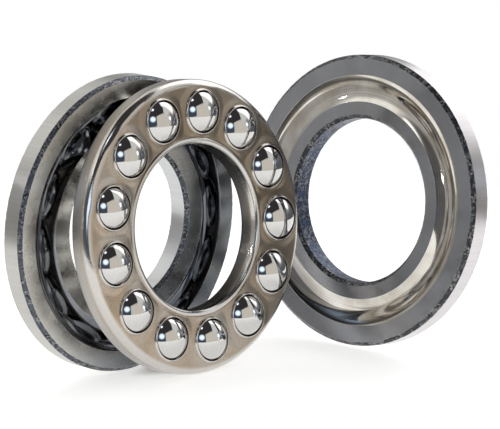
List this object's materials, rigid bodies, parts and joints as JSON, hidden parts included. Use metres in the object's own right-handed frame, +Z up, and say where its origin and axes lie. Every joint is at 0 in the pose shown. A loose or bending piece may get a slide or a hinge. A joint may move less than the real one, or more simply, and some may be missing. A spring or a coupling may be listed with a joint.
{
  "type": "thrust ball bearing",
  "caption": "Single-direction thrust ball bearing: two grooved steel washers and a pressed steel cage of balls, standing apart on edge.",
  "frame": {"origin": "centre of the shaft washer's bore, half way through it", "axes": "+Y along the shaft washer's bore, out of its seating face; +Z up; +X towards the housing washer"},
  "size_m": [0.0684, 0.0471, 0.047],
  "materials": {
    "shaft_washer_steel": "ground and hardened bearing steel, polished groove, dark unground chamfers",
    "housing_washer_steel": "ground and hardened bearing steel, polished groove, dark unground chamfers and bore",
    "cage_steel": "pressed steel sheet, tumbled to a soft shine",
    "ball_steel": "mirror-lapped bearing steel"
  },
  "bodies": {
    "housing_washer": {"housing_washer": "housing_washer_steel"},
    "shaft_washer": {"shaft_washer": "shaft_washer_steel"},
    "cage": {"cage": "cage_steel"},
    "ball_01": {"ball_01": "ball_steel"},
    "ball_02": {"ball_02": "ball_steel"},
    "ball_03": {"ball_03": "ball_steel"},
    "ball_04": {"ball_04": "ball_steel"},
    "ball_05": {"ball_05": "ball_steel"},
    "ball_06": {"ball_06": "ball_steel"},
    "ball_07": {"ball_07": "ball_steel"},
    "ball_08": {"ball_08": "ball_steel"},
    "ball_09": {"ball_09": "ball_steel"},
    "ball_10": {"ball_10": "ball_steel"},
    "ball_11": {"ball_11": "ball_steel"},
    "ball_12": {"ball_12": "ball_steel"},
    "ball_13": {"ball_13": "ball_steel"}
  },
  "joints": [
    {"name": "shaft_washer_spin", "type": "hinge", "parent": "housing_washer", "child": "shaft_washer", "pos_m": [0, 0, 0], "axis": [0, 1, 0], "continuous": true},
    {"name": "cage_orbit", "type": "hinge", "parent": "housing_washer", "child": "cage", "pos_m": [0.0061, -0.00865, -0.00032], "axis": [0.0121, 0.9918, -0.1271], "continuous": true},
    {"name": "ball_01_spin", "type": "hinge", "parent": "cage", "child": "ball_01", "pos_m": [0.00958, -0.00643, 0.0173], "axis": [0.1923, 0.1224, 0.9737], "continuous": true},
    {"name": "ball_02_spin", "type": "hinge", "parent": "cage", "child": "ball_02", "pos_m": [0.01744, -0.00699, 0.01369], "axis": [0.6263, 0.0915, 0.7742], "continuous": true},
    {"name": "ball_03_spin", "type": "hinge", "parent": "cage", "child": "ball_03", "pos_m": [0.02269, -0.00793, 0.00687], "axis": [0.9168, 0.0397, 0.3973], "continuous": true},
    {"name": "ball_04_spin", "type": "hinge", "parent": "cage", "child": "ball_04", "pos_m": [0.02415, -0.00903, -0.0016], "axis": [0.9973, -0.0212, -0.0705], "continuous": true},
    {"name": "ball_05_spin", "type": "hinge", "parent": "cage", "child": "ball_05", "pos_m": [0.02147, -0.01005, -0.00978], "axis": [0.8493, -0.0773, -0.5222], "continuous": true},
    {"name": "ball_06_spin", "type": "hinge", "parent": "cage", "child": "ball_06", "pos_m": [0.01527, -0.01074, -0.01579], "axis": [0.5067, -0.1156, -0.8543], "continuous": true},
    {"name": "ball_07_spin", "type": "hinge", "parent": "cage", "child": "ball_07", "pos_m": [0.00697, -0.01096, -0.01825], "axis": [0.0481, -0.1275, -0.9907], "continuous": true},
    {"name": "ball_08_spin", "type": "hinge", "parent": "cage", "child": "ball_08", "pos_m": [-0.00153, -0.01064, -0.01661], "axis": [-0.4216, -0.1102, -0.9001], "continuous": true},
    {"name": "ball_09_spin", "type": "hinge", "parent": "cage", "child": "ball_09", "pos_m": [-0.00828, -0.00987, -0.01124], "axis": [-0.7946, -0.0676, -0.6033], "continuous": true},
    {"name": "ball_10_spin", "type": "hinge", "parent": "cage", "child": "ball_10", "pos_m": [-0.01174, -0.00882, -0.00337], "axis": [-0.9857, -0.0095, -0.1683], "continuous": true},
    {"name": "ball_11_spin", "type": "hinge", "parent": "cage", "child": "ball_11", "pos_m": [-0.01111, -0.00773, 0.0052], "axis": [-0.9509, 0.0507, 0.3052], "continuous": true},
    {"name": "ball_12_spin", "type": "hinge", "parent": "cage", "child": "ball_12", "pos_m": [-0.00654, -0.00685, 0.01251], "axis": [-0.6983, 0.0993, 0.7089], "continuous": true},
    {"name": "ball_13_spin", "type": "hinge", "parent": "cage", "child": "ball_13", "pos_m": [0.00093, -0.00638, 0.01687], "axis": [-0.2857, 0.1252, 0.9501], "continuous": true}
  ],
  "couplings": [
    {"joint": "cage_orbit", "follows": "shaft_washer_spin", "ratio": 0.5},
    {"joint": "ball_01_spin", "follows": "shaft_washer_spin", "ratio": -2.2802},
    {"joint": "ball_02_spin", "follows": "shaft_washer_spin", "ratio": -2.2802},
    {"joint": "ball_03_spin", "follows": "shaft_washer_spin", "ratio": -2.2802},
    {"joint": "ball_04_spin", "follows": "shaft_washer_spin", "ratio": -2.2802},
    {"joint": "ball_05_spin", "follows": "shaft_washer_spin", "ratio": -2.2802},
    {"joint": "ball_06_spin", "follows": "shaft_washer_spin", "ratio": -2.2802},
    {"joint": "ball_07_spin", "follows": "shaft_washer_spin", "ratio": -2.2802},
    {"joint": "ball_08_spin", "follows": "shaft_washer_spin", "ratio": -2.2802},
    {"joint": "ball_09_spin", "follows": "shaft_washer_spin", "ratio": -2.2802},
    {"joint": "ball_10_spin", "follows": "shaft_washer_spin", "ratio": -2.2802},
    {"joint": "ball_11_spin", "follows": "shaft_washer_spin", "ratio": -2.2802},
    {"joint": "ball_12_spin", "follows": "shaft_washer_spin", "ratio": -2.2802},
    {"joint": "ball_13_spin", "follows": "shaft_washer_spin", "ratio": -2.2802}
  ]
}
